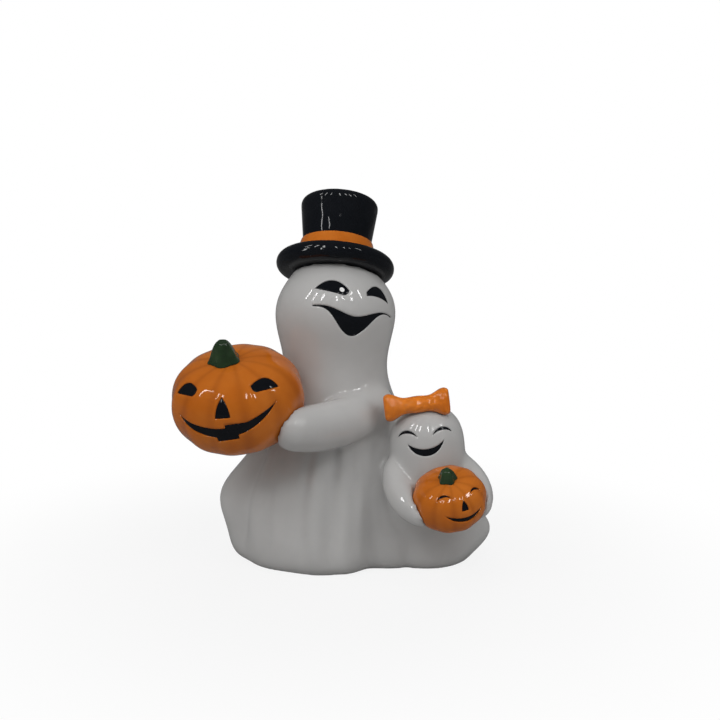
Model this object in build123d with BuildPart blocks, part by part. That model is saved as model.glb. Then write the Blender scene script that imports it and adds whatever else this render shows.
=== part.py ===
from build123d import *
import os
from math import cos, exp, radians, sin, sqrt

# Ceramic ghost figure: slip-cast pieces luted together with slip, glazed and fired.
# Millimetres, +Z up, the figure stands on z = 0 and faces -Y; left and right are the viewer's.
os.makedirs("parts", exist_ok=True)

# Where the tall ghost's upright axis stands
ghost_x = -1.0
ghost_y = 14.2

# Tall ghost: height, half width and half depth of each level of the casting
foot_inset = 3.0
hem_height = 5.0
hem_half_width = 57.0
hem_half_depth = 48.0
ankle_height = 14.0
skirt_height = 27.0
skirt_half_width = 56.5
skirt_half_depth = 45.0
hip_height = 52.0
hip_half_width = 51.0
hip_half_depth = 39.0
waist_height = 71.0
waist_half_width = 40.5
waist_half_depth = 34.0
chest_height = 88.0
chest_half_width = 32.0
chest_half_depth = 30.5
neck_height = 103.0
neck_half_width = 28.6
neck_half_depth = 27.5
head_height = 127.0
head_half_width = 32.8
head_half_depth = 32.0
brow_height = 147.0
brow_half_width = 28.4
brow_half_depth = 28.0
dome_height = 166.0
dome_half_width = 19.0
dome_half_depth = 17.0
hem_forward = 4.0
head_back = 2.0

# Robe folds: soft ridges round the skirt, and the hem that flares on the left
fold_count = 11
fold_ridge = 1.3
fold_bearing = -47.0
flare_reach = 7.0
flare_bearing = -88.0
flare_spread = 24.0
tuck_depth = 7.5
tuck_bearing = 26.0
tuck_spread = 13.0

# Casting walls, and the holes that let the air out of the hollow in the kiln
wall = 4.0
floor = 5.0
vent_diameter = 18.0
vent_back = 14.0
air_hole = 6.0

# Top hat, set back on the head and leaning to the right
hat_height = 152.5
hat_back = 6.0
hat_aside = -0.5
hat_tilt = 19.5
hat_lean = 3.8
brim_radius = 32.8
brim_thickness = 10.8
band_height = 8.5
band_radius = 20.0
band_flare = 2.4
band_wall = 0.9
crown_top = 44.0
crown_top_radius = 22.2
crown_edge_round = 4.0
crown_wall = 4.0

# Large jack-o'-lantern
pumpkin_bearing = -50.5
pumpkin_height = 91.5
pumpkin_half_width = 34.4
pumpkin_half_height = 22.8
pumpkin_seat = 2.5
pumpkin_tilt = 22.0
pumpkin_lean = 4.0
pumpkin_turn = -6.0
pumpkin_rib_count = 12
pumpkin_rib = 0.9
pumpkin_wall = 4.0
pumpkin_plump = 0.62

# Small jack-o'-lantern
lantern_bearing = 20.0
lantern_height = 43.0
lantern_half_width = 19.0
lantern_half_height = 13.0
lantern_seat = 11.0
lantern_tilt = 26.0
lantern_lean = 7.0
lantern_turn = 25.0
lantern_rib_count = 10
lantern_rib = 0.6
lantern_wall = 3.5

# Pumpkin stems
stem_radius = 11.5
stem_tip_radius = 4.6
stem_length = 10.5
stem_aside = 4.0
stem_ribs = 5
stem_rib = 1.4
lantern_stem_radius = 7.6
lantern_stem_tip_radius = 3.2
lantern_stem_length = 6.0
stem_sunk = 2.4

# Black glaze in moulded recesses: how deep the recess is, and how far the glaze lies below the skin
recess_depth = 1.3
glaze_sunk = 0.5
glint_thickness = 0.35

# Tall ghost's face, turned to the right and thrown back
face_height = 130.0
face_tilt = -15.0
face_lean = 4.0
face_turn = 24.0
eye_outer = 21.7
eye_peak = 12.4
eye_inner = 5.4
eye_round = 2.6
eye_middle = 9.0
eye_top = 14.0
eye_bottom = 6.0
glint_radius = 1.25
glint_place = 9.3
wink_inner = 4.4
wink_peak = 11.6
wink_outer = 19.7
wink_top = 14.2
wink_fold = 8.2
wink_bottom = 7.4
wink_tip = 6.2
wink_blunt = 2.2
smile_half_width = 22.6
smile_depth = 14.4
smile_aside = -2.0
smile_open = 15.0
smile_full = 0.66
lip_dip = 4.4
lip_stroke = 0.9

# Large jack-o'-lantern's face
pumpkin_face_tilt = -6.0
pumpkin_face_lean = -4.0
pumpkin_face_turn = -7.0
pumpkin_eye_inner = 13.2
pumpkin_eye_peak = 18.0
pumpkin_eye_outer = 25.6
pumpkin_eye_top = 10.2
pumpkin_eye_middle = 7.0
pumpkin_eye_tip = 5.4
pumpkin_eye_bottom = 3.7
pumpkin_eye_round = 2.8
pumpkin_nose_width = 7.4
pumpkin_nose_height = 10.0
pumpkin_nose_rise = 2.5
pumpkin_mouth_half_width = 24.6
pumpkin_mouth_corner = -2.8
pumpkin_mouth_upper = 9.6
pumpkin_mouth_lower = 14.2
pumpkin_mouth_roll = 4.0
pumpkin_tooth_gap = 10.5
pumpkin_tooth_step = 1.5

# Small ghost's face
child_face_tilt = -4.0
child_face_lean = -7.0
child_face_turn = -5.0
child_eye_apart = 9.0
child_eye_width = 10.0
child_eye_rise = 3.6
child_eye_stroke = 1.5
child_eye_height = 4.8
child_mouth_half_width = 9.3
child_mouth_height = 1.9
child_mouth_upper = 3.5
child_mouth_lower = 7.0

# Small jack-o'-lantern's face
lantern_face_tilt = -10.0
lantern_face_lean = -13.0
lantern_face_turn = 18.0
lantern_eye_apart = 8.2
lantern_eye_width = 6.6
lantern_eye_rise = 2.4
lantern_eye_stroke = 1.1
lantern_eye_height = 1.4
lantern_nose_width = 3.7
lantern_nose_height = 5.0
lantern_nose_rise = -0.6
lantern_mouth_half_width = 9.9
lantern_mouth_corner = -6.0
lantern_mouth_upper = 3.0
lantern_mouth_lower = 4.9

# Tall ghost's arms: thickness, where they leave the chest and where they hold the pumpkin
shoulder_radius = 10.5
forearm_radius = 12.5
hand_radius = 11.5
arm_wall = 4.0
shoulder_sunk = 3.0
shoulder_drop = 4.0
hand_sunk = 1.5
front_shoulder_bearing = 54.0
front_elbow_bearing = 6.0
front_elbow_out = 5.0
front_elbow_drop = 10.0
front_hand_bearing = 66.0
front_hand_drop = 13.5
back_shoulder_bearing = -64.0
back_elbow_bearing = -92.0
back_elbow_out = 16.0
back_elbow_drop = 5.0
back_hand_bearing = -150.0
back_hand_drop = 10.0

# Small ghost
child_bearing = 59.5
child_seat = 10.8
child_hem_height = 4.0
child_hem_half_width = 28.0
child_hem_half_depth = 30.0
child_hem_back = 17.0
child_flare_height = 13.0
child_flare_half_width = 33.0
child_flare_reach = 3.5
child_flare_bearing = 90.0
child_skirt_height = 30.0
child_skirt_half_width = 27.0
child_skirt_back = 9.0
child_neck_height = 50.0
child_neck_radius = 20.5
child_head_height = 67.0
child_head_radius = 20.0
child_wall = 3.5
child_shoulder_radius = 7.0
child_forearm_radius = 7.5
child_hand_radius = 7.0
child_shoulder_sunk = 2.0
child_shoulder_rise = 3.5
child_elbow_drop = 4.5
child_left_shoulder_bearing = -62.0
child_left_elbow_bearing = -42.0
child_left_elbow_out = 3.0
child_left_hand_bearing = -72.0
child_left_hand_drop = 6.5
child_right_shoulder_bearing = 84.0
child_right_elbow_bearing = 66.0
child_right_elbow_out = 7.0
child_right_hand_bearing = 100.0
child_right_hand_drop = 4.0
child_hand_sunk = 4.0

# Bow on the small ghost's head
bow_length = 34.0
bow_loop_height = 14.6
bow_loop_depth = 9.0
bow_knot_height = 9.2
bow_knot_depth = 8.6
bow_pinch_height = 8.6
bow_pinch_depth = 7.4
bow_sunk = 3.6
bow_roll = 7.0
bow_bearing = -32.0
bow_rise = 62.0


def bearing_point(origin, bearing, reach, height):
    """Point at a bearing round an upright axis: 0 is towards the viewer, 90 to the right."""
    turn = radians(bearing)
    return Vector(origin.X + reach * sin(turn), origin.Y - reach * cos(turn), height)


def oval_reach(half_width, half_depth, bearing):
    """How far an oval level reaches at a bearing."""
    turn = radians(bearing)
    return 1 / sqrt((sin(turn) / half_width) ** 2 + (cos(turn) / half_depth) ** 2)


def bump(bearing, middle, spread):
    """Smooth swelling, 1 at its middle bearing and nothing a few spreads away."""
    away = (bearing - middle + 180) % 360 - 180
    return exp(-((away / spread) ** 2))


def posed(origin, tilt, lean, turn):
    """Frame of a head or a pumpkin: pole tilted forwards and leaning right, front turned right."""
    return Plane(Location(origin, (tilt, lean, turn)))


def face_plane(origin, tilt, lean, turn):
    """Drawing plane through a head or a pumpkin, square to the way its face looks."""
    frame = posed(origin, tilt, lean, turn)
    return Plane(origin, x_dir=frame.x_dir, z_dir=-frame.y_dir)


def arm_form(shoulder, elbow, hand, radii, inset):
    """Arm bent through three points, round at both ends and drawn in by an inset."""
    with BuildPart() as form:
        with BuildLine() as path:
            ThreePointArc(shoulder, elbow, hand)
        for place, radius in zip((0.0, 0.5, 1.0), radii):
            with BuildSketch(Plane(origin=path.line @ place, z_dir=path.line % place)):
                Circle(radius - inset)
        sweep(multisection=True)
        with Locations(shoulder):
            Sphere(radii[0] - inset)
        with Locations(hand):
            Sphere(radii[-1] - inset)
    return form.part


def ribbed_form(plane, levels, count):
    """Loft about a pole through levels of height, reach at the ribs and depth of the grooves."""
    with BuildPart() as form:
        for height, across, groove in levels:
            points = []
            for step in range(4 * count):
                reach = across - groove * (1 - cos(radians(90 * step))) / 2
                points.append(bearing_point(Vector(0, 0), 90 * step / count, reach, 0))
            with BuildSketch(plane.offset(height)):
                with BuildLine():
                    Spline(points, periodic=True)
                make_face()
        loft()
    return form.part


def pumpkin_form(plane, half_width, half_height, count, rib, inset):
    """Squat ribbed pumpkin about its own pole, drawn in by an inset."""
    levels = []
    for slope in (-80, -60, -36, -12, 12, 36, 60, 80):
        across = (half_width - inset) * cos(radians(slope)) ** pumpkin_plump
        levels.append(((half_height - inset) * sin(radians(slope)), across, rib * cos(radians(slope))))
    return ribbed_form(plane, levels, count)


def stem_form(plane, foot, length, radius, tip_radius):
    """Ridged stub of a stem, flared at its foot and rounded over at its tip."""
    throat = (radius + 2 * tip_radius) / 3
    shoulder = tip_radius * 0.55
    levels = []
    for share, across in ((0.0, radius), (0.4, throat), (0.8, tip_radius), (1.0, shoulder)):
        levels.append((foot + share * length, across, stem_rib * across / radius))
    return ribbed_form(plane, levels, stem_ribs)


# Levels of the tall ghost: height, half width, half depth, set back, share of folds, flare and tuck
ghost_levels = [
    (0.0, hem_half_width - foot_inset, hem_half_depth - foot_inset, -hem_forward, 0.4, 0.0, 1.0),
    (hem_height, hem_half_width, hem_half_depth, -hem_forward, 0.5, 0.1, 1.0),
    (ankle_height, hem_half_width, hem_half_depth, -hem_forward, 0.8, 0.4, 1.0),
    (skirt_height, skirt_half_width, skirt_half_depth, -hem_forward, 1.0, 1.0, 0.8),
    (hip_height, hip_half_width, hip_half_depth, 0.0, 0.8, 0.15, 0.3),
    (waist_height, waist_half_width, waist_half_depth, 0.0, 0.4, 0.0, 0.0),
    (chest_height, chest_half_width, chest_half_depth, 0.0, 0.0, 0.0, 0.0),
    (neck_height, neck_half_width, neck_half_depth, 0.0, 0.0, 0.0, 0.0),
    (head_height, head_half_width, head_half_depth, head_back, 0.0, 0.0, 0.0),
    (brow_height, brow_half_width, brow_half_depth, head_back, 0.0, 0.0, 0.0),
    (dome_height, dome_half_width, dome_half_depth, head_back, 0.0, 0.0, 0.0),
]
ghost_axis = Vector(ghost_x, ghost_y)


def ghost_form(inset):
    """The tall ghost's outer form, drawn in by an inset; each fold has a ridge, two sides and a valley."""
    with BuildPart() as form:
        for height, half_width, half_depth, back, folds, flare, tuck in ghost_levels:
            points = []
            for step in range(4 * fold_count):
                bearing = fold_bearing + 90 * step / fold_count
                reach = oval_reach(half_width - inset, half_depth - inset, bearing)
                reach += folds * fold_ridge * cos(radians(90 * step))
                reach += flare * flare_reach * bump(bearing, flare_bearing, flare_spread)
                reach -= tuck * tuck_depth * bump(bearing, tuck_bearing, tuck_spread)
                points.append(bearing_point(Vector(0, 0), bearing, reach, 0))
            with BuildSketch(Plane((ghost_x, ghost_y + back, height))):
                with BuildLine():
                    Spline(points, periodic=True)
                make_face()
        loft()
    return form.part


# Levels of the small ghost: height, half width, half depth, set back from its head, share of flare
child_levels = [
    (0.0, child_hem_half_width - foot_inset, child_hem_half_depth - foot_inset, child_hem_back, 0.0),
    (child_hem_height, child_hem_half_width, child_hem_half_depth, child_hem_back, 0.3),
    (child_flare_height, child_flare_half_width, child_hem_half_depth, child_hem_back, 1.0),
    (child_skirt_height, child_skirt_half_width, child_skirt_half_width, child_skirt_back, 0.0),
    (child_neck_height, child_neck_radius, child_neck_radius, 0.0, 0.0),
]
for slope in (0, 30, 60, 80):
    rise = child_head_radius * sin(radians(slope))
    ring = child_head_radius * cos(radians(slope))
    child_levels.append((child_head_height + rise, ring, ring, 0.0, 0.0))

hip_reach = oval_reach(hip_half_width, hip_half_depth, child_bearing)
child_axis = bearing_point(ghost_axis, child_bearing, hip_reach + child_neck_radius - child_seat, 0)


def child_form(inset):
    """The small ghost's outer form, drawn in by an inset."""
    share = 1 - inset / child_head_radius
    with BuildPart() as form:
        for height, half_width, half_depth, back, flare in child_levels:
            points = []
            for bearing in range(0, 360, 15):
                reach = oval_reach(half_width * share, half_depth * share, bearing)
                reach += flare * child_flare_reach * bump(bearing, child_flare_bearing, flare_spread)
                points.append(bearing_point(Vector(0, 0), bearing, reach, 0))
            level = min(height, child_head_height) + share * max(height - child_head_height, 0)
            with BuildSketch(Plane((child_axis.X, child_axis.Y + back, level))):
                with BuildLine():
                    Spline(points, periodic=True)
                make_face()
        loft()
    return form.part


# Frames of the hat, the pumpkins and the faces
hat_plane = Plane(Location((ghost_x + hat_aside, ghost_y + hat_back, hat_height), (-hat_tilt, hat_lean, 0)))
hat_side = Plane(hat_plane.origin, x_dir=hat_plane.x_dir, z_dir=-hat_plane.y_dir)
hat_axis = Axis(hat_plane.origin, hat_plane.z_dir)
chest_reach = oval_reach(chest_half_width, chest_half_depth, pumpkin_bearing)
pumpkin_reach = chest_reach + pumpkin_half_width - pumpkin_seat
pumpkin_centre = bearing_point(ghost_axis, pumpkin_bearing, pumpkin_reach, pumpkin_height)
pumpkin_plane = posed(pumpkin_centre, pumpkin_tilt, -pumpkin_lean, pumpkin_turn)
stem_foot = pumpkin_centre - stem_aside * pumpkin_plane.x_dir
stem_plane = Plane(stem_foot, pumpkin_plane.x_dir, pumpkin_plane.z_dir)
lantern_reach = child_neck_radius + lantern_half_width - lantern_seat
lantern_centre = bearing_point(child_axis, lantern_bearing, lantern_reach, lantern_height)
lantern_plane = posed(lantern_centre, lantern_tilt, -lantern_lean, lantern_turn)
ghost_face = face_plane((ghost_x, ghost_y + head_back, face_height), face_tilt, face_lean, face_turn)
pumpkin_face = face_plane(pumpkin_centre, pumpkin_face_tilt, pumpkin_face_lean, pumpkin_face_turn)
child_face = face_plane(
    Vector(child_axis.X, child_axis.Y, child_head_height), child_face_tilt, child_face_lean, child_face_turn
)
lantern_face = face_plane(lantern_centre, lantern_face_tilt, lantern_face_lean, lantern_face_turn)


def pumpkin_skin(inset):
    """The large jack-o'-lantern drawn in by an inset."""
    return pumpkin_form(
        pumpkin_plane, pumpkin_half_width, pumpkin_half_height, pumpkin_rib_count, pumpkin_rib, inset
    )


def lantern_skin(inset):
    """The small jack-o'-lantern drawn in by an inset."""
    return pumpkin_form(
        lantern_plane, lantern_half_width, lantern_half_height, lantern_rib_count, lantern_rib, inset
    )


# Outer forms that the neighbouring pieces are cut to fit
ghost_outer = ghost_form(0.0)
child_outer = child_form(0.0)
pumpkin_outer = pumpkin_skin(0.0)
lantern_outer = lantern_skin(0.0)


def air_duct(start, end):
    """Round hole that lets the air pass between two hollow castings."""
    with BuildPart() as duct:
        with BuildSketch(Plane(origin=start, z_dir=end - start)):
            Circle(air_hole / 2)
        extrude(amount=(end - start).length)
    return duct.part


def crescent(half_width, upper, lower):
    """Face between two arcs that hang from the same two corners."""
    with BuildSketch() as shape:
        with BuildLine():
            ThreePointArc((-half_width, 0), (0, -upper), (half_width, 0))
            ThreePointArc((half_width, 0), (0, -lower), (-half_width, 0))
        make_face()
    return shape.sketch


def nose(width, height):
    """Pointed arch, drawn down from its tip."""
    with BuildSketch() as shape:
        with BuildLine():
            ThreePointArc((0, 0), (-0.36 * width, -height / 2), (-width / 2, -height))
            Line((-width / 2, -height), (width / 2, -height))
            ThreePointArc((width / 2, -height), (0.36 * width, -height / 2), (0, 0))
        make_face()
    return shape.sketch


def inlay(outline, plane, place, reach, skin, bed):
    """Recess under an outline placed on a face, down to a bed, and the glaze in it up to a skin."""
    with BuildPart() as recess:
        with BuildSketch(plane):
            with Locations(place):
                add(outline)
        extrude(amount=reach)
        add(bed, mode=Mode.SUBTRACT)
    with BuildPart() as glaze:
        add(recess.part)
        add(skin, mode=Mode.INTERSECT)
    return recess.part, glaze.part


# Tall ghost's open eye, wink and open smile, and the glint in its eye
with BuildSketch() as open_eye_outline:
    with BuildLine():
        Spline((-eye_outer, eye_middle), (-eye_peak, eye_top), (-eye_inner, eye_middle))
        ThreePointArc(
            (-eye_inner, eye_middle),
            (-eye_inner - eye_round / 4, (eye_middle + eye_bottom) / 2),
            (-eye_inner - eye_round, eye_bottom),
        )
        Line((-eye_inner - eye_round, eye_bottom), (-eye_outer, eye_middle))
    make_face()

with BuildSketch() as winking_eye_outline:
    with BuildLine():
        Spline((wink_inner, wink_bottom + wink_blunt), (wink_peak, wink_top), (wink_outer, wink_tip))
        ThreePointArc((wink_outer, wink_tip), (wink_peak, wink_fold), (wink_inner, wink_bottom))
        Line((wink_inner, wink_bottom), (wink_inner, wink_bottom + wink_blunt))
    make_face()

with BuildSketch() as smile_outline:
    with BuildLine():
        Spline(
            (-smile_half_width, 0),
            (smile_aside - smile_open, 0),
            (smile_aside, -lip_dip),
            (smile_aside + smile_open, 0),
            (smile_half_width, 0),
        )
        Line((smile_half_width, 0), (smile_half_width, -lip_stroke))
        Spline(
            (smile_half_width, -lip_stroke),
            (smile_aside + smile_open, -2 * lip_stroke),
            (smile_aside + smile_open / 2, -smile_full * smile_depth),
            (smile_aside, -smile_depth),
            (smile_aside - smile_open / 2, -smile_full * smile_depth),
            (smile_aside - smile_open, -2 * lip_stroke),
            (-smile_half_width, -lip_stroke),
        )
        Line((-smile_half_width, -lip_stroke), (-smile_half_width, 0))
    make_face()

with BuildSketch() as glint_outline:
    with Locations((-glint_place, eye_middle)):
        Circle(glint_radius)

here = Location()
ghost_bed = ghost_form(recess_depth)
ghost_glaze = ghost_form(glaze_sunk)
head_reach = head_half_width + recess_depth
open_eye = inlay(open_eye_outline.sketch, ghost_face, here, head_reach, ghost_glaze, ghost_bed)
winking_eye = inlay(winking_eye_outline.sketch, ghost_face, here, head_reach, ghost_glaze, ghost_bed)
smile = inlay(smile_outline.sketch, ghost_face, here, head_reach, ghost_glaze, ghost_bed)
glint_top = ghost_form(glaze_sunk - glint_thickness)
glint = inlay(glint_outline.sketch, ghost_face, here, head_reach, glint_top, ghost_glaze)

# Large jack-o'-lantern's eyes, nose and gap-toothed grin
with BuildSketch() as pumpkin_eye_outline:
    with BuildLine():
        Spline(
            (pumpkin_eye_outer, pumpkin_eye_tip),
            (pumpkin_eye_peak, pumpkin_eye_top),
            (pumpkin_eye_inner, pumpkin_eye_middle),
        )
        ThreePointArc(
            (pumpkin_eye_inner, pumpkin_eye_middle),
            (pumpkin_eye_inner + pumpkin_eye_round / 4, (pumpkin_eye_middle + pumpkin_eye_bottom) / 2),
            (pumpkin_eye_inner + pumpkin_eye_round, pumpkin_eye_bottom),
        )
        Line(
            (pumpkin_eye_inner + pumpkin_eye_round, pumpkin_eye_bottom),
            (pumpkin_eye_outer, pumpkin_eye_tip),
        )
    make_face()
pumpkin_left_eye_outline = mirror(pumpkin_eye_outline.sketch, about=Plane.YZ)

with BuildSketch() as grin_outline:
    add(crescent(pumpkin_mouth_half_width, pumpkin_mouth_upper, pumpkin_mouth_lower))
    with Locations((pumpkin_tooth_gap / 2, -pumpkin_mouth_upper)):
        Rectangle(pumpkin_tooth_gap, 2 * pumpkin_tooth_step)
    with Locations((0, -pumpkin_mouth_lower)):
        Rectangle(pumpkin_tooth_gap, 2 * pumpkin_tooth_step)

pumpkin_bed = pumpkin_skin(recess_depth)
pumpkin_glaze = pumpkin_skin(glaze_sunk)
pumpkin_out = pumpkin_half_width + recess_depth
nose_outline = nose(pumpkin_nose_width, pumpkin_nose_height)
nose_place = Location((0, pumpkin_nose_rise))
grin_place = Location((0, pumpkin_mouth_corner), (0, 0, pumpkin_mouth_roll))
pumpkin_left_eye = inlay(
    pumpkin_left_eye_outline, pumpkin_face, here, pumpkin_out, pumpkin_glaze, pumpkin_bed
)
pumpkin_right_eye = inlay(
    pumpkin_eye_outline.sketch, pumpkin_face, here, pumpkin_out, pumpkin_glaze, pumpkin_bed
)
pumpkin_nose = inlay(nose_outline, pumpkin_face, nose_place, pumpkin_out, pumpkin_glaze, pumpkin_bed)
grin = inlay(grin_outline.sketch, pumpkin_face, grin_place, pumpkin_out, pumpkin_glaze, pumpkin_bed)

# Small ghost's closed eyes and smile
child_bed = child_form(recess_depth)
child_glaze = child_form(glaze_sunk)
child_out = child_head_radius + recess_depth
child_eye_outline = crescent(child_eye_width / 2, -child_eye_rise, child_eye_stroke - child_eye_rise)
child_mouth_outline = crescent(child_mouth_half_width, child_mouth_upper, child_mouth_lower)
child_left_place = Location((-child_eye_apart, child_eye_height))
child_right_place = Location((child_eye_apart, child_eye_height))
child_mouth_place = Location((0, child_mouth_height))
child_left_eye = inlay(child_eye_outline, child_face, child_left_place, child_out, child_glaze, child_bed)
child_right_eye = inlay(child_eye_outline, child_face, child_right_place, child_out, child_glaze, child_bed)
child_mouth = inlay(child_mouth_outline, child_face, child_mouth_place, child_out, child_glaze, child_bed)

# Small jack-o'-lantern's closed eyes, nose and smile
lantern_bed = lantern_skin(recess_depth)
lantern_glaze = lantern_skin(glaze_sunk)
lantern_out = lantern_half_width + recess_depth
lantern_eye_outline = crescent(
    lantern_eye_width / 2, -lantern_eye_rise, lantern_eye_stroke - lantern_eye_rise
)
lantern_mouth_outline = crescent(lantern_mouth_half_width, lantern_mouth_upper, lantern_mouth_lower)
lantern_nose_outline = nose(lantern_nose_width, lantern_nose_height)
lantern_inlays = []
for outline, across, up in (
    (lantern_eye_outline, -lantern_eye_apart, lantern_eye_height),
    (lantern_eye_outline, lantern_eye_apart, lantern_eye_height),
    (lantern_nose_outline, 0, lantern_nose_rise),
    (lantern_mouth_outline, 0, lantern_mouth_corner),
):
    place = Location((across, up))
    lantern_inlays.append(inlay(outline, lantern_face, place, lantern_out, lantern_glaze, lantern_bed))


def chest_point(bearing, out, drop):
    """Point beside the tall ghost's chest, out from its surface and below the chest line."""
    reach = oval_reach(chest_half_width, chest_half_depth, bearing) + out
    return bearing_point(ghost_axis, bearing, reach, chest_height - drop)


# Lines of the tall ghost's arms: shoulder, elbow and hand
arm_radii = (shoulder_radius, forearm_radius, hand_radius)
hand_reach = pumpkin_half_width - hand_sunk
front_arm_points = (
    chest_point(front_shoulder_bearing, -shoulder_sunk, shoulder_drop),
    chest_point(front_elbow_bearing, front_elbow_out, front_elbow_drop),
    bearing_point(pumpkin_centre, front_hand_bearing, hand_reach, pumpkin_height - front_hand_drop),
)
back_arm_points = (
    chest_point(back_shoulder_bearing, -shoulder_sunk, shoulder_drop),
    chest_point(back_elbow_bearing, back_elbow_out, back_elbow_drop),
    bearing_point(pumpkin_centre, back_hand_bearing, hand_reach, pumpkin_height - back_hand_drop),
)
front_arm_hollow = arm_form(*front_arm_points, arm_radii, arm_wall)
back_arm_hollow = arm_form(*back_arm_points, arm_radii, arm_wall)

# Air ducts from the tall ghost's hollow into the pieces luted to it
chest_inside = bearing_point(ghost_axis, pumpkin_bearing, chest_reach - 2 * wall, chest_height)
hip_inside = bearing_point(ghost_axis, child_bearing, hip_reach - 2 * wall, hip_height)
pumpkin_duct = air_duct(chest_inside, pumpkin_centre)
child_duct = air_duct(hip_inside, Vector(child_axis.X, child_axis.Y, hip_height))
lantern_duct = air_duct(Vector(child_axis.X, child_axis.Y, lantern_height), lantern_centre)

# Tall ghost: one hollow casting with a vent in its floor, cut flat where the hat sits
with BuildPart() as ghost_hollow:
    add(ghost_form(wall))
    split(bisect_by=Plane.XY.offset(floor), keep=Keep.TOP)
    split(bisect_by=hat_plane.offset(-wall), keep=Keep.BOTTOM)

with BuildPart() as ghost_body:
    add(ghost_outer)
    split(bisect_by=hat_plane, keep=Keep.BOTTOM)
    add(ghost_hollow.part, mode=Mode.SUBTRACT)
    with BuildSketch(Plane.XY):
        with Locations((ghost_x, ghost_y + vent_back)):
            Circle(vent_diameter / 2)
    extrude(amount=floor, mode=Mode.SUBTRACT)
    with BuildSketch(hat_plane):
        Circle(air_hole / 2)
    extrude(amount=-2 * wall, mode=Mode.SUBTRACT)
    for hollow in (front_arm_hollow, back_arm_hollow, pumpkin_duct, child_duct):
        add(hollow, mode=Mode.SUBTRACT)
    for recess, glaze in (open_eye, winking_eye, smile):
        add(recess, mode=Mode.SUBTRACT)

# Hat brim: thick disc with a full round edge
with BuildPart() as hat_brim:
    with BuildSketch(hat_side):
        with BuildLine():
            edge = brim_thickness / 2
            Line((air_hole / 2, 0), (brim_radius - edge, 0))
            ThreePointArc((brim_radius - edge, 0), (brim_radius, edge), (brim_radius - edge, brim_thickness))
            Line((brim_radius - edge, brim_thickness), (air_hole / 2, brim_thickness))
            Line((air_hole / 2, brim_thickness), (air_hole / 2, 0))
        make_face()
    revolve(axis=hat_axis)

# Hat crown: hollow, flaring towards its rounded top
crown_foot = band_radius - band_wall
band_top = brim_thickness + band_height
with BuildPart() as hat_crown:
    with BuildSketch(hat_side):
        with BuildLine():
            Polyline(
                (air_hole / 2, brim_thickness),
                (crown_foot, brim_thickness),
                (crown_foot, band_top),
                (crown_top_radius, crown_top),
                (0, crown_top),
                (0, crown_top - crown_wall),
                (crown_top_radius - crown_wall, crown_top - crown_wall),
                (crown_foot - crown_wall, band_top),
                (crown_foot - crown_wall, brim_thickness + crown_wall),
                (air_hole / 2, brim_thickness + crown_wall),
                close=True,
            )
        make_face()
    revolve(axis=hat_axis)
    fillet(hat_crown.edges().group_by(hat_axis)[-1], crown_edge_round)

# Hat band: ring round the foot of the crown, flared over the brim
with BuildPart() as hat_band:
    with BuildSketch(hat_side):
        with BuildLine():
            Polyline(
                (crown_foot, brim_thickness),
                (band_radius + band_flare, brim_thickness),
                (band_radius, band_top),
                (crown_foot, band_top),
                close=True,
            )
        make_face()
    revolve(axis=hat_axis)

# Large jack-o'-lantern: hollow, seated on the robe
with BuildPart() as pumpkin:
    add(pumpkin_outer)
    add(pumpkin_skin(pumpkin_wall), mode=Mode.SUBTRACT)
    add(ghost_outer, mode=Mode.SUBTRACT)
    add(pumpkin_duct, mode=Mode.SUBTRACT)
    for recess, glaze in (pumpkin_left_eye, pumpkin_right_eye, pumpkin_nose, grin):
        add(recess, mode=Mode.SUBTRACT)

with BuildPart() as pumpkin_stem:
    foot = pumpkin_half_height - stem_sunk
    add(stem_form(stem_plane, foot, stem_sunk + stem_length, stem_radius, stem_tip_radius))
    add(pumpkin_outer, mode=Mode.SUBTRACT)

# Tall ghost's arms: hollow, open into the body, cut to the robe and to the pumpkin that they hold
with BuildPart() as front_arm:
    add(arm_form(*front_arm_points, arm_radii, 0.0))
    for hollow in (front_arm_hollow, ghost_outer, pumpkin_outer):
        add(hollow, mode=Mode.SUBTRACT)

with BuildPart() as back_arm:
    add(arm_form(*back_arm_points, arm_radii, 0.0))
    for hollow in (back_arm_hollow, ghost_outer, pumpkin_outer):
        add(hollow, mode=Mode.SUBTRACT)

# Small ghost: hollow casting, open at the back where it is luted to the robe
with BuildPart() as child_hollow:
    add(child_form(child_wall))
    split(bisect_by=Plane.XY.offset(floor), keep=Keep.TOP)

with BuildPart() as small_ghost_body:
    add(child_outer)
    for hollow in (child_hollow.part, ghost_outer, lantern_duct):
        add(hollow, mode=Mode.SUBTRACT)
    for recess, glaze in (child_left_eye, child_right_eye, child_mouth):
        add(recess, mode=Mode.SUBTRACT)

# Small jack-o'-lantern, held against the small ghost
with BuildPart() as small_pumpkin:
    add(lantern_outer)
    for hollow in (lantern_skin(lantern_wall), child_outer, lantern_duct):
        add(hollow, mode=Mode.SUBTRACT)
    for recess, glaze in lantern_inlays:
        add(recess, mode=Mode.SUBTRACT)

with BuildPart() as small_pumpkin_stem:
    foot = lantern_half_height - stem_sunk
    length = stem_sunk + lantern_stem_length
    add(stem_form(lantern_plane, foot, length, lantern_stem_radius, lantern_stem_tip_radius))
    add(lantern_outer, mode=Mode.SUBTRACT)


def child_point(bearing, out, rise):
    """Point beside the small ghost's neck, out from its surface and above the neck line."""
    return bearing_point(child_axis, bearing, child_neck_radius + out, child_neck_height + rise)


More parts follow.
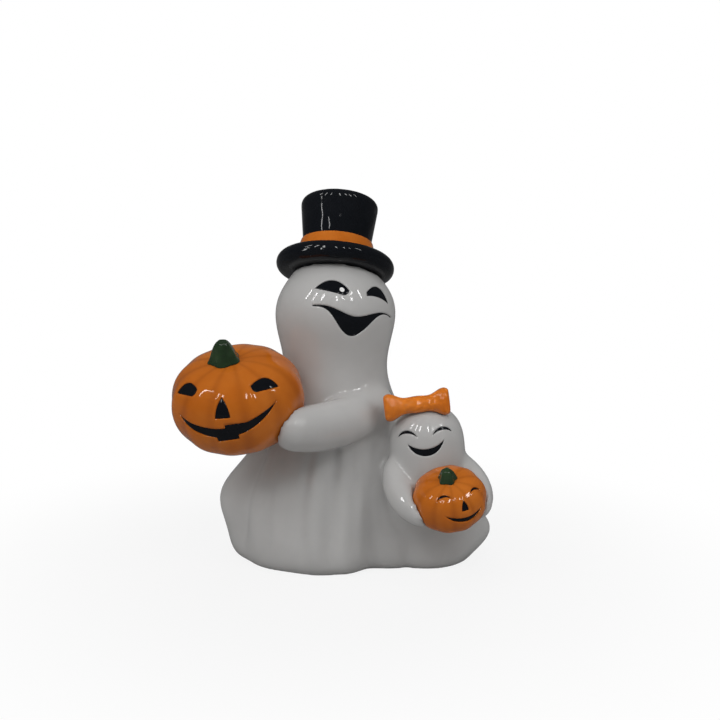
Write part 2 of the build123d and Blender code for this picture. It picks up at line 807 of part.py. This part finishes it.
# Small ghost's arms, solid, round the small jack-o'-lantern
child_radii = (child_shoulder_radius, child_forearm_radius, child_hand_radius)
child_hand_reach = lantern_half_width - child_hand_sunk
child_left_points = (
    child_point(child_left_shoulder_bearing, -child_shoulder_sunk, child_shoulder_rise),
    child_point(child_left_elbow_bearing, child_left_elbow_out, -child_elbow_drop),
    bearing_point(
        lantern_centre, child_left_hand_bearing, child_hand_reach, lantern_height - child_left_hand_drop
    ),
)
child_right_points = (
    child_point(child_right_shoulder_bearing, -child_shoulder_sunk, child_shoulder_rise),
    child_point(child_right_elbow_bearing, child_right_elbow_out, -child_elbow_drop),
    bearing_point(
        lantern_centre, child_right_hand_bearing, child_hand_reach, lantern_height - child_right_hand_drop
    ),
)

with BuildPart() as small_ghost_left_arm:
    add(arm_form(*child_left_points, child_radii, 0.0))
    for neighbour in (child_outer, lantern_outer, ghost_outer):
        add(neighbour, mode=Mode.SUBTRACT)

with BuildPart() as small_ghost_right_arm:
    add(arm_form(*child_right_points, child_radii, 0.0))
    for neighbour in (child_outer, lantern_outer):
        add(neighbour, mode=Mode.SUBTRACT)

# Bow: two loops drawn in either side of the knot, sunk a little into the top of the head
bow_out = child_head_radius + bow_loop_height / 2 - bow_sunk
bow_centre = bearing_point(
    child_axis,
    bow_bearing,
    bow_out * cos(radians(bow_rise)),
    child_head_height + bow_out * sin(radians(bow_rise)),
)
bow_plane = Plane(Location(bow_centre, (0, 90 - bow_roll, 0)))
bow_half = (
    (0.0, bow_knot_height, bow_knot_depth),
    (0.14, bow_pinch_height, bow_pinch_depth),
    (0.4, bow_loop_height, bow_loop_depth),
    (0.47, 0.96 * bow_loop_height, 0.85 * bow_loop_depth),
    (0.5, 0.84 * bow_loop_height, 0.6 * bow_loop_depth),
)
bow_levels = [(-share, tall, deep) for share, tall, deep in reversed(bow_half[1:])] + list(bow_half)
with BuildPart() as bow:
    for share, tall, deep in bow_levels:
        with BuildSketch(bow_plane.offset(share * bow_length)):
            Ellipse(tall / 2, deep / 2)
    loft()
    add(child_outer, mode=Mode.SUBTRACT)

pieces = {
    "ghost_body": ghost_body.part,
    "hat_brim": hat_brim.part,
    "hat_crown": hat_crown.part,
    "hat_band": hat_band.part,
    "front_arm": front_arm.part,
    "back_arm": back_arm.part,
    "ghost_open_eye": open_eye[1],
    "ghost_eye_glint": glint[1],
    "ghost_winking_eye": winking_eye[1],
    "ghost_mouth": smile[1],
    "pumpkin": pumpkin.part,
    "pumpkin_stem": pumpkin_stem.part,
    "pumpkin_left_eye": pumpkin_left_eye[1],
    "pumpkin_right_eye": pumpkin_right_eye[1],
    "pumpkin_nose": pumpkin_nose[1],
    "pumpkin_mouth": grin[1],
    "small_ghost_body": small_ghost_body.part,
    "small_ghost_left_arm": small_ghost_left_arm.part,
    "small_ghost_right_arm": small_ghost_right_arm.part,
    "small_ghost_left_eye": child_left_eye[1],
    "small_ghost_right_eye": child_right_eye[1],
    "small_ghost_mouth": child_mouth[1],
    "bow": bow.part,
    "small_pumpkin": small_pumpkin.part,
    "small_pumpkin_stem": small_pumpkin_stem.part,
    "small_pumpkin_left_eye": lantern_inlays[0][1],
    "small_pumpkin_right_eye": lantern_inlays[1][1],
    "small_pumpkin_nose": lantern_inlays[2][1],
    "small_pumpkin_mouth": lantern_inlays[3][1],
}
for name, piece in pieces.items():
    piece.label = name
    export_step(piece, f"parts/{name}.step")
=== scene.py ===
import math
import bpy
import numpy as np
from mathutils import Matrix, Vector


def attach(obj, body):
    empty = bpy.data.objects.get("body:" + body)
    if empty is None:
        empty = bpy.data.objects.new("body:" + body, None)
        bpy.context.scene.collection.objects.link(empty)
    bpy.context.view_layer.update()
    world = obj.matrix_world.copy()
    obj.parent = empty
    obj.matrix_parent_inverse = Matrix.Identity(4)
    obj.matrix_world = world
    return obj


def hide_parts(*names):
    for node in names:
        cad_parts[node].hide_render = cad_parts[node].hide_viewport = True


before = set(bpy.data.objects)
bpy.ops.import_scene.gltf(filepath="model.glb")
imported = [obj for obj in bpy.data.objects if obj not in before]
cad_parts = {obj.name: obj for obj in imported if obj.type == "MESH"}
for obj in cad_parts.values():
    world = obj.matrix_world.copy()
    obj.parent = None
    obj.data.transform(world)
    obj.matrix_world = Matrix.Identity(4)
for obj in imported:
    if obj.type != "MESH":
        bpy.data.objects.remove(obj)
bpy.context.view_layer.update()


# White castings: the tall ghost, its two arms, and the small ghost with its arms.
# Slip-cast earthenware, hollow, luted together with slip while damp, so the joins are wiped soft,
# folds are pressed down the robe, and one coat of white glaze runs over all of them.
def clay_copy(name, *nodes):
    """One mesh made of copies of some castings, with their corners joined up."""
    bpy.ops.object.select_all(action="DESELECT")
    copies = []
    for node in nodes:
        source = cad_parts[node]
        copy = bpy.data.objects.new(name, source.data.copy())
        bpy.context.scene.collection.objects.link(copy)
        copy.select_set(True)
        copies.append(copy)
    piece = copies[0]
    bpy.context.view_layer.objects.active = piece
    if len(copies) > 1:
        bpy.ops.object.join()
    piece.name = name
    piece.data.materials.clear()
    bpy.ops.object.mode_set(mode="EDIT")
    bpy.ops.mesh.select_all(action="SELECT")
    same_corner = 0.000002
    bpy.ops.mesh.remove_doubles(threshold=same_corner)
    bpy.ops.object.mode_set(mode="OBJECT")
    return piece


def wipe_smooth(piece, grain, passes):
    """Damp-sponge a casting: close it into one skin of a given grain, then soften its edges."""
    skin = piece.modifiers.new("skin", "REMESH")
    skin.mode = "VOXEL"
    skin.voxel_size = grain
    skin.use_smooth_shade = True
    bpy.ops.object.modifier_apply(modifier=skin.name)
    sponge = piece.modifiers.new("sponge", "SMOOTH")
    sponge.factor = 0.5
    sponge.iterations = passes
    bpy.ops.object.modifier_apply(modifier=sponge.name)
    bpy.ops.object.shade_smooth()


def face_axes(tilt, lean, turn):
    """Right, up and outward directions of a face that is tilted, leaned and turned in degrees."""
    pose = (
        Matrix.Rotation(math.radians(tilt), 3, "X")
        @ Matrix.Rotation(math.radians(lean), 3, "Y")
        @ Matrix.Rotation(math.radians(turn), 3, "Z")
    )
    return [np.array(pose @ Vector(axis)) for axis in ((1, 0, 0), (0, 0, 1), (0, -1, 0))]


def outline_of(node, axes):
    """The drawn edge of an inlay, as line segments on its face, and how deep it lies."""
    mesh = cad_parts[node].data
    places = np.array([vertex.co for vertex in mesh.vertices])
    flat = np.stack([places @ axes[0], places @ axes[1]], 1)
    depth = places @ axes[2]
    facing_out = 0.2
    sides = {}
    for face in mesh.polygons:
        top = np.array(face.normal) @ axes[2] > facing_out
        corners = [tuple(np.round(places[i] * 1e6).astype(int)) for i in face.vertices]
        following = [*face.vertices[1:], face.vertices[0]]
        for a, b, i, j in zip(corners, corners[1:] + corners[:1], face.vertices, following):
            if top and a != b:
                sides.setdefault(tuple(sorted((a, b))), []).append((i, j))
    rim = [pairs[0] for pairs in sides.values() if len(pairs) == 1]
    starts = np.array([flat[i] for i, j in rim])
    ends = np.array([flat[j] for i, j in rim])
    return starts, ends, depth.min(), depth.max()


def edge_distance(points, starts, ends):
    """How far points on a face lie from a drawn edge, negative inside it."""
    run = ends - starts
    span = (run ** 2).sum(1) + 1e-18
    away = np.full(len(points), 1.0)
    inside = np.zeros(len(points), bool)
    for start, step, size, end in zip(starts, run, span, ends):
        along = np.clip(((points - start) @ step) / size, 0, 1)
        away = np.minimum(away, np.linalg.norm(points - start - along[:, None] * step, axis=1))
        crosses = (start[1] > points[:, 1]) != (end[1] > points[:, 1])
        rise = end[1] - start[1] if end[1] != start[1] else 1e-12
        inside ^= crosses & (points[:, 0] < start[0] + (points[:, 1] - start[1]) / rise * step[0])
    return np.where(inside, -away, away)


def press_recess(piece, axes, cuts, depth, lip, *nodes):
    """Press the recess of each inlay into a casting, with a rounded lip along its drawn edge."""
    margin = 0.004
    below = 0.002
    band_width = 0.0018
    for node in nodes:
        starts, ends, low, high = outline_of(node, axes)
        for stage in ("divide", "press"):
            places = np.empty(len(piece.data.vertices) * 3)
            piece.data.vertices.foreach_get("co", places)
            places = places.reshape(-1, 3)
            flat = np.stack([places @ axes[0], places @ axes[1]], 1)
            out = places @ axes[2]
            least = np.minimum(starts, ends).min(0) - margin
            most = np.maximum(starts, ends).max(0) + margin
            near = ((flat > least) & (flat < most)).all(1) & (out > low - below) & (out < high + margin)
            away = np.full(len(places), 1.0)
            away[near] = edge_distance(flat[near], starts, ends)
            if stage == "divide":
                bpy.ops.object.mode_set(mode="EDIT")
                bpy.ops.mesh.select_all(action="DESELECT")
                bpy.ops.object.mode_set(mode="OBJECT")
                band = np.abs(away) < band_width
                for face in piece.data.polygons:
                    face.select = any(band[i] for i in face.vertices)
                bpy.ops.object.mode_set(mode="EDIT")
                bpy.ops.mesh.select_mode(type="FACE")
                bpy.ops.mesh.subdivide(number_cuts=cuts)
                bpy.ops.mesh.vertices_smooth(factor=0.5, repeat=6)
                bpy.ops.object.mode_set(mode="OBJECT")
            else:
                share = np.clip((lip - away) / (2 * lip), 0, 1)
                share = share * share * (3 - 2 * share)
                places -= (depth * share)[:, None] * axes[2]
                piece.data.vertices.foreach_set("co", places.ravel())
                piece.data.update()


def sponge_near(piece, place, reach, passes):
    """Rub a casting smoother all round one place."""
    bpy.ops.object.mode_set(mode="EDIT")
    bpy.ops.mesh.select_mode(type="VERT")
    bpy.ops.mesh.select_all(action="DESELECT")
    bpy.ops.object.mode_set(mode="OBJECT")
    for vertex in piece.data.vertices:
        vertex.select = np.linalg.norm(np.array(vertex.co) - place) < reach
    bpy.ops.object.mode_set(mode="EDIT")
    bpy.ops.mesh.vertices_smooth(factor=0.5, repeat=passes)
    bpy.ops.object.mode_set(mode="OBJECT")


def press_folds(piece, axis, bearings, depth, spread):
    """Press upright folds into the robe below the arms, round its axis and clear of the small ghost."""
    arm_level = 0.078
    full_depth_below_arms = 0.024
    foot_level = 0.004
    full_depth_above_foot = 0.016
    share_at_foot = 0.15
    child_bearing = 62
    child_half_angle = 36
    clear_of_child = 10
    core = 0.012
    core_edge = 0.010
    sway_angle = 3.0
    sway_rate = 60
    places = np.array([vertex.co for vertex in piece.data.vertices])
    across = places[:, 0] - axis[0]
    ahead = axis[1] - places[:, 1]
    reach = np.hypot(across, ahead)
    bearing = np.degrees(np.arctan2(across, ahead))
    hollow = np.zeros(len(places))
    for number, fold in enumerate(bearings):
        sway = sway_angle * np.sin(places[:, 2] * sway_rate + number)
        turn = (bearing - fold - sway + 180) % 360 - 180
        hollow = np.maximum(hollow, (0.7 + 0.3 * (number % 2)) * np.exp(-(turn / spread) ** 2))
    below_arms = np.clip((arm_level - places[:, 2]) / full_depth_below_arms, 0, 1)
    rise = np.clip((places[:, 2] - foot_level) / full_depth_above_foot, 0, 1)
    above_foot = share_at_foot + (1 - share_at_foot) * rise
    beside_child = np.clip((np.abs(bearing - child_bearing) - child_half_angle) / clear_of_child, 0, 1)
    off_axis = np.clip((reach - core) / core_edge, 0, 1)
    sink = depth * hollow * below_arms * above_foot * beside_child * off_axis
    inward = -np.stack([across, -ahead], 1) / (reach[:, None] + 1e-9)
    places[:, :2] += sink[:, None] * inward
    piece.data.vertices.foreach_set("co", places.ravel())
    piece.data.update()


robes = clay_copy(
    "white_castings", "ghost_body", "front_arm", "back_arm", "small_ghost_body",
    "small_ghost_left_arm", "small_ghost_right_arm", "ghost_open_eye", "ghost_winking_eye", "ghost_mouth",
    "small_ghost_left_eye", "small_ghost_right_eye", "small_ghost_mouth",
)
wipe_smooth(robes, 0.00155, 7)
shoulder = np.array((0.026, -0.005, 0.085))
sponge_near(robes, shoulder, 0.017, 30)
robe_axis = (-0.001, 0.0102)
fold_bearings = (-66, -47, -20, 0, 16, 108, 128, 150, 172, -165, -141, -118, -93)
press_folds(robes, robe_axis, fold_bearings, depth=0.0022, spread=5.0)

ghost_face = face_axes(-15, 4, 24)
small_ghost_face = face_axes(-4, -7, -5)
recess_depth = 0.0010
recess_lip = 0.00035
press_recess(
    robes, ghost_face, 3, recess_depth, recess_lip, "ghost_open_eye", "ghost_winking_eye", "ghost_mouth"
)
press_recess(
    robes, small_ghost_face, 3, recess_depth, recess_lip,
    "small_ghost_left_eye", "small_ghost_right_eye", "small_ghost_mouth",
)


def glaze(name, thin, thick, patch, roughness, ripple, mirror=0.5, grain=85.0):
    """Fired gloss glaze: colour drifts between thin and thick coats, and the surface ripples a little."""
    material = bpy.data.materials.new(name)
    material.use_nodes = True
    nodes = material.node_tree.nodes
    links = material.node_tree.links
    shader = nodes["Principled BSDF"]
    shader.inputs["IOR"].default_value = 1.5
    shader.inputs["Specular IOR Level"].default_value = mirror
    place = nodes.new("ShaderNodeTexCoord")
    drift = nodes.new("ShaderNodeTexNoise")
    drift.inputs["Scale"].default_value = patch
    drift.inputs["Detail"].default_value = 4.0
    drift.inputs["Roughness"].default_value = 0.55
    links.new(place.outputs["Object"], drift.inputs["Vector"])
    coat = nodes.new("ShaderNodeValToRGB")
    coat.color_ramp.elements[0].position = 0.3
    coat.color_ramp.elements[0].color = (*thin, 1)
    coat.color_ramp.elements[1].position = 0.7
    coat.color_ramp.elements[1].color = (*thick, 1)
    links.new(drift.outputs["Fac"], coat.inputs["Fac"])
    links.new(coat.outputs["Color"], shader.inputs["Base Color"])
    sheen = nodes.new("ShaderNodeMapRange")
    sheen.inputs["To Min"].default_value = roughness * 0.7
    sheen.inputs["To Max"].default_value = roughness * 1.4
    links.new(drift.outputs["Fac"], sheen.inputs["Value"])
    links.new(sheen.outputs["Result"], shader.inputs["Roughness"])
    wave = nodes.new("ShaderNodeTexNoise")
    wave.inputs["Scale"].default_value = grain
    wave.inputs["Detail"].default_value = 0.6
    links.new(place.outputs["Object"], wave.inputs["Vector"])
    skin = nodes.new("ShaderNodeBump")
    skin.inputs["Strength"].default_value = ripple
    skin.inputs["Distance"].default_value = 0.001
    links.new(wave.outputs["Fac"], skin.inputs["Height"])
    links.new(skin.outputs["Normal"], shader.inputs["Normal"])
    return material


white_glaze = glaze("white_glaze", (0.445, 0.44, 0.433), (0.49, 0.485, 0.477), 35.0, 0.06, 0.26)
robes.data.materials.append(white_glaze)
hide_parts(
    "ghost_body", "front_arm", "back_arm", "small_ghost_body",
    "small_ghost_left_arm", "small_ghost_right_arm",
)
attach(robes, "root")


# Tall ghost's face: black glaze flooded into moulded recesses with a fine brush, so that it lies
# a little below the white skin and its surface is drawn flat and glassy. The glint is a dot of white.
black_glaze = glaze("black_glaze", (0.004, 0.005, 0.007), (0.007, 0.008, 0.010), 60.0, 0.05, 0.8, 0.24)


def glaze_fill(name, node, material):
    """Glaze that stands in a recess, its top smoothed by melting."""
    fill = clay_copy(name, node)
    wipe_smooth(fill, 0.00022, 4)
    fill.data.materials.append(material)
    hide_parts(node)
    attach(fill, "root")
    return fill


glaze_fill("open_eye_glaze", "ghost_open_eye", black_glaze)
glaze_fill("winking_eye_glaze", "ghost_winking_eye", black_glaze)
glaze_fill("mouth_glaze", "ghost_mouth", black_glaze)
glint_white = glaze("glint_white", (0.78, 0.78, 0.77), (0.84, 0.84, 0.83), 200.0, 0.08, 0.05)
glint = clay_copy("glint_dot", "ghost_eye_glint")
wipe_smooth(glint, 0.0001, 3)
glint.data.materials.append(glint_white)
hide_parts("ghost_eye_glint")
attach(glint, "root")


# Top hat: a thick disc for the brim and a hollow crown, both thrown as rings and luted to the head.
# Black gloss glaze, its tone drifting a little at random.
brim = clay_copy("brim", "hat_brim")
wipe_smooth(brim, 0.0008, 8)
brim.data.materials.append(black_glaze)
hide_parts("hat_brim")
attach(brim, "root")

crown = clay_copy("crown", "hat_crown")
wipe_smooth(crown, 0.0008, 8)
crown.data.materials.append(black_glaze)
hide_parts("hat_crown")
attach(crown, "root")


# Hat band: a strip of clay pressed round the foot of the crown and flared over the brim,
# brushed with the same orange glaze as the jack-o'-lanterns.
thin_orange = (0.455, 0.112, 0.008)
thick_orange = (0.54, 0.155, 0.018)
orange_glaze = glaze("orange_glaze", thin_orange, thick_orange, 45.0, 0.06, 0.36)
band = clay_copy("band", "hat_band")
wipe_smooth(band, 0.0004, 6)
band.data.materials.append(orange_glaze)
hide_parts("hat_band")
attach(band, "root")


# Large jack-o'-lantern: a hollow ribbed casting held against the robe, with its eyes, nose and
# gap-toothed grin moulded in as shallow recesses that are flooded with black glaze.
pumpkin = clay_copy(
    "jack_o_lantern", "pumpkin", "pumpkin_left_eye", "pumpkin_right_eye", "pumpkin_nose", "pumpkin_mouth"
)
wipe_smooth(pumpkin, 0.0009, 8)
pumpkin_face = face_axes(-6, -4, -7)
press_recess(
    pumpkin, pumpkin_face, 2, recess_depth, recess_lip,
    "pumpkin_left_eye", "pumpkin_right_eye", "pumpkin_nose", "pumpkin_mouth",
)


def mark_grooves(piece, tilt, lean, turn, ribs):
    """Note on a pumpkin's skin how near each point lies to the bottom of a groove between two ribs."""
    side, axis, front = face_axes(tilt, lean, turn)
    places = np.array([vertex.co for vertex in piece.data.vertices])
    across, up, out = places @ side, places @ axis, places @ front
    across = across - (across.max() + across.min()) / 2
    up = up - (up.max() + up.min()) / 2
    out = out - (out.max() + out.min()) / 2
    angle = np.arctan2(across, out)
    reach = np.hypot(across, out)
    belt_share = 0.4
    outer_share = 0.9
    belt = (np.abs(up) < belt_share * up.max()) & (reach > outer_share * reach.max())
    crest = np.angle((reach[belt] * np.exp(1j * ribs * angle[belt])).sum())
    hollow = (0.5 - 0.5 * np.cos(ribs * angle - crest)) ** 4
    # Groove nearness, which places the painted shade in the pumpkin glaze.
    groove = piece.data.attributes.new("groove", "FLOAT", "POINT")
    groove.data.foreach_set("value", hollow.astype(np.float32))


def groove_shade_glaze(name, thin, thick, shade_colour):
    """Orange glaze with painted shade: darker in the grooves between the ribs."""
    material = glaze(name, thin, thick, 45.0, 0.06, 0.36)
    nodes = material.node_tree.nodes
    links = material.node_tree.links
    groove = nodes.new("ShaderNodeAttribute")
    groove.attribute_name = "groove"
    share = nodes.new("ShaderNodeMath")
    share.operation = "MULTIPLY"
    # How strongly the painted shade darkens the bottom of a groove.
    groove_shade_strength = 0.26
    share.inputs[1].default_value = groove_shade_strength
    links.new(groove.outputs["Fac"], share.inputs[0])
    groove_shade_mix = nodes.new("ShaderNodeMix")
    groove_shade_mix.data_type = "RGBA"
    links.new(share.outputs[0], groove_shade_mix.inputs["Factor"])
    links.new(nodes["Color Ramp"].outputs["Color"], groove_shade_mix.inputs[6])
    groove_shade_mix.inputs[7].default_value = (*shade_colour, 1)
    links.new(groove_shade_mix.outputs[2], nodes["Principled BSDF"].inputs["Base Color"])
    return material


# Dark brown painted shade, mixed in along the grooves between the pumpkin ribs.
groove_shade_orange = (0.20, 0.038, 0.004)
groove_shaded_pumpkin_glaze = groove_shade_glaze("groove_shaded_pumpkin_glaze", thin_orange, thick_orange, groove_shade_orange)
mark_grooves(pumpkin, 22, -4, -6, 12)
pumpkin.data.materials.append(groove_shaded_pumpkin_glaze)
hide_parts("pumpkin")
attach(pumpkin, "root")
glaze_fill("left_eye_glaze", "pumpkin_left_eye", black_glaze)
glaze_fill("right_eye_glaze", "pumpkin_right_eye", black_glaze)
glaze_fill("nose_glaze", "pumpkin_nose", black_glaze)
glaze_fill("grin_glaze", "pumpkin_mouth", black_glaze)


# Stem of the large jack-o'-lantern: a ridged stub rolled by hand and stuck on with slip, dark green glaze.
green_glaze = glaze("green_glaze", (0.012, 0.026, 0.012), (0.026, 0.055, 0.022), 120.0, 0.10, 0.8, 0.5, 260.0)
stem = clay_copy("stem", "pumpkin_stem")
wipe_smooth(stem, 0.0004, 6)
stem.data.materials.append(green_glaze)
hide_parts("pumpkin_stem")
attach(stem, "root")


# Small ghost's face: closed eyes and a smile in black glaze, in the same kind of recess.
glaze_fill("small_left_eye_glaze", "small_ghost_left_eye", black_glaze)
glaze_fill("small_right_eye_glaze", "small_ghost_right_eye", black_glaze)
glaze_fill("small_mouth_glaze", "small_ghost_mouth", black_glaze)


# Bow: two loops and a knot pinched from one strip of clay and stuck on the small ghost's head, orange glaze.
bow = clay_copy("hair_bow", "bow")
wipe_smooth(bow, 0.0005, 24)
bow_glaze = glaze("bow_glaze", thin_orange, thick_orange, 80.0, 0.06, 0.9, 0.5, 230.0)
bow.data.materials.append(bow_glaze)
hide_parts("bow")
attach(bow, "root")


# Small jack-o'-lantern and its stem: a hollow casting in the small ghost's arms, glazed like the large one.
small_pumpkin = clay_copy(
    "small_jack_o_lantern", "small_pumpkin", "small_pumpkin_left_eye", "small_pumpkin_right_eye",
    "small_pumpkin_nose", "small_pumpkin_mouth",
)
wipe_smooth(small_pumpkin, 0.0006, 7)
small_pumpkin_face = face_axes(-10, -13, 18)
press_recess(
    small_pumpkin, small_pumpkin_face, 1, recess_depth, 0.0003,
    "small_pumpkin_left_eye", "small_pumpkin_right_eye", "small_pumpkin_nose", "small_pumpkin_mouth",
)
mark_grooves(small_pumpkin, 26, -7, 25, 10)
# The small pumpkin gets the same painted shade in its grooves.
small_pumpkin.data.materials.append(groove_shaded_pumpkin_glaze)
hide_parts("small_pumpkin")
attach(small_pumpkin, "root")
glaze_fill("little_left_eye_glaze", "small_pumpkin_left_eye", black_glaze)
glaze_fill("little_right_eye_glaze", "small_pumpkin_right_eye", black_glaze)
glaze_fill("little_nose_glaze", "small_pumpkin_nose", black_glaze)
glaze_fill("little_smile_glaze", "small_pumpkin_mouth", black_glaze)
small_stem = clay_copy("small_stem", "small_pumpkin_stem")
wipe_smooth(small_stem, 0.0003, 5)
small_stem.data.materials.append(green_glaze)
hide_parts("small_pumpkin_stem")
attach(small_stem, "root")


# Studio: a wide pale floor that shows white to the eye and keeps a faint shadow, soft lamps overhead,
# beside and behind, and a row of narrow upright tubes in front, whose reflections streak the glaze.
# A few low tubes are screened so that they shine on the hat alone or on the bow alone.
bpy.ops.object.select_all(action="DESELECT")
bpy.ops.mesh.primitive_plane_add(size=16.0, location=(0, 0, 0))
floor = bpy.context.active_object
floor.name = "floor"
paper = bpy.data.materials.new("paper")
paper.use_nodes = True
nodes = paper.node_tree.nodes
links = paper.node_tree.links
matt = nodes["Principled BSDF"]
matt.inputs["Base Color"].default_value = (0.5, 0.5, 0.5, 1)
matt.inputs["Roughness"].default_value = 0.9
matt.inputs["Specular IOR Level"].default_value = 0.0
light_path = nodes.new("ShaderNodeLightPath")
looked_at = nodes.new("ShaderNodeMath")
looked_at.operation = "MAXIMUM"
links.new(light_path.outputs["Is Camera Ray"], looked_at.inputs[0])
links.new(light_path.outputs["Is Glossy Ray"], looked_at.inputs[1])
seen = nodes.new("ShaderNodeMath")
seen.operation = "MAXIMUM"
links.new(looked_at.outputs[0], seen.inputs[0])
links.new(light_path.outputs["Is Transmission Ray"], seen.inputs[1])
spot = nodes.new("ShaderNodeTexCoord")
reach = nodes.new("ShaderNodeVectorMath")
reach.operation = "LENGTH"
links.new(spot.outputs["Object"], reach.inputs[0])
fade = nodes.new("ShaderNodeMapRange")
fade.interpolation_type = "SMOOTHSTEP"
fade.inputs["From Min"].default_value = 0.08
fade.inputs["From Max"].default_value = 0.28
fade.inputs["To Min"].default_value = 0.87
fade.inputs["To Max"].default_value = 1.0
links.new(reach.outputs["Value"], fade.inputs["Value"])
share = nodes.new("ShaderNodeMath")
share.operation = "MULTIPLY"
links.new(seen.outputs[0], share.inputs[0])
links.new(fade.outputs["Result"], share.inputs[1])
bright = nodes.new("ShaderNodeEmission")
bright.inputs["Color"].default_value = (1, 1, 1, 1)
dimmed = nodes.new("ShaderNodeMapRange")
dimmed.inputs["To Min"].default_value = 1.0
dimmed.inputs["To Max"].default_value = 0.12
links.new(light_path.outputs["Is Glossy Ray"], dimmed.inputs["Value"])
links.new(dimmed.outputs["Result"], bright.inputs["Strength"])
blend = nodes.new("ShaderNodeMixShader")
links.new(share.outputs[0], blend.inputs["Fac"])
links.new(matt.outputs["BSDF"], blend.inputs[1])
links.new(bright.outputs["Emission"], blend.inputs[2])
links.new(blend.outputs["Shader"], nodes["Material Output"].inputs["Surface"])
floor.data.materials.append(paper)

world = bpy.data.worlds.new("room")
bpy.context.scene.world = world
world.use_nodes = True
room = world.node_tree.nodes
room_links = world.node_tree.links
backdrop = room["Background"]
backdrop.inputs["Color"].default_value = (1, 1, 1, 1)
room_path = room.new("ShaderNodeLightPath")
outlook = room.new("ShaderNodeTexCoord")
heading = room.new("ShaderNodeSeparateXYZ")
room_links.new(outlook.outputs["Generated"], heading.inputs["Vector"])
behind = room.new("ShaderNodeMapRange")
behind.interpolation_type = "SMOOTHSTEP"
behind.inputs["From Min"].default_value = 0.75
behind.inputs["From Max"].default_value = 0.98
behind.inputs["To Max"].default_value = 0.35
room_links.new(heading.outputs["Y"], behind.inputs["Value"])
mirrored = room.new("ShaderNodeMath")
mirrored.operation = "MULTIPLY"
room_links.new(room_path.outputs["Is Glossy Ray"], mirrored.inputs[0])
room_links.new(behind.outputs["Result"], mirrored.inputs[1])
plain = room.new("ShaderNodeMath")
plain.operation = "MAXIMUM"
room_links.new(room_path.outputs["Is Camera Ray"], plain.inputs[0])
room_links.new(room_path.outputs["Is Transmission Ray"], plain.inputs[1])
white = room.new("ShaderNodeMath")
white.operation = "MAXIMUM"
room_links.new(plain.outputs[0], white.inputs[0])
room_links.new(mirrored.outputs[0], white.inputs[1])
level = room.new("ShaderNodeMapRange")
level.inputs["To Min"].default_value = 0.19
level.inputs["To Max"].default_value = 1.0
room_links.new(white.outputs[0], level.inputs["Value"])
hush = room.new("ShaderNodeMapRange")
hush.inputs["To Min"].default_value = 1.0
hush.inputs["To Max"].default_value = 0.35
room_links.new(room_path.outputs["Is Glossy Ray"], hush.inputs["Value"])
strength = room.new("ShaderNodeMath")
strength.operation = "MULTIPLY"
room_links.new(level.outputs["Result"], strength.inputs[0])
room_links.new(hush.outputs["Result"], strength.inputs[1])
room_links.new(strength.outputs[0], backdrop.inputs["Strength"])


def lamp(name, place, target, width, length, power, mirrored):
    """Area lamp aimed at a point; a lamp that is not mirrored lights the glaze without showing in it."""
    light = bpy.data.lights.new(name, "AREA")
    light.shape = "RECTANGLE"
    light.size = width
    light.size_y = length
    light.energy = power
    holder = bpy.data.objects.new(name, light)
    bpy.context.scene.collection.objects.link(holder)
    holder.location = place
    holder.rotation_euler = (Vector(target) - Vector(place)).to_track_quat("-Z", "Y").to_euler()
    holder.visible_glossy = mirrored
    return holder


middle = (0.0, 0.0, 0.1)
lamp("overhead", (-0.1, -0.2, 1.4), middle, 1.4, 1.2, 5.6, False)
lamp("left", (-1.3, -0.6, 0.7), middle, 0.9, 0.9, 4.6, False)
lamp("right", (1.3, -0.6, 0.7), middle, 0.9, 0.9, 4.0, False)
lamp("back", (0.2, 1.4, 0.9), middle, 1.2, 1.0, 7.0, False)
hat_pieces = bpy.data.collections.new("hat_pieces")
for piece in (brim, crown, band):
    hat_pieces.objects.link(piece)
bow_piece = bpy.data.collections.new("bow_piece")
bow_piece.objects.link(bow)
away = 2.2
tube_width = 0.08
power_per_metre = 4.6
for number, (bearing, rise, span, shown_on) in enumerate((
    (-64, 42, 16, None), (-46, 41, 20, None), (-28, 42, 16, None), (4, 42, 18, None),
    (22, 44, 12, None), (40, 42, 16, None), (62, 42, 14, None),
    (-56, 17, 22, hat_pieces), (-30, 19, 14, hat_pieces),
    (-52, 14, 22, bow_piece), (-22, 16, 18, bow_piece), (8, 14, 22, bow_piece), (38, 16, 20, bow_piece),
)):
    swing = math.radians(bearing)
    lift = math.radians(rise)
    place = (
        away * math.cos(lift) * math.sin(swing),
        -away * math.cos(lift) * math.cos(swing),
        middle[2] + away * math.sin(lift),
    )
    length = away * math.radians(span)
    tube = lamp(f"tube_{number}", place, middle, tube_width, length, power_per_metre * length, True)
    if shown_on:
        tube.light_linking.receiver_collection = shown_on

camera = bpy.data.cameras.new("camera")
camera.sensor_width = 36.0
camera.lens = 46.5
view = bpy.data.objects.new("camera", camera)
bpy.context.scene.collection.objects.link(view)
view.location = (0.0126, -0.497, 0.170)
view.rotation_euler = (math.radians(90 - 7.1), 0, 0)
bpy.context.scene.camera = view
bpy.context.scene.view_settings.view_transform = "Standard"
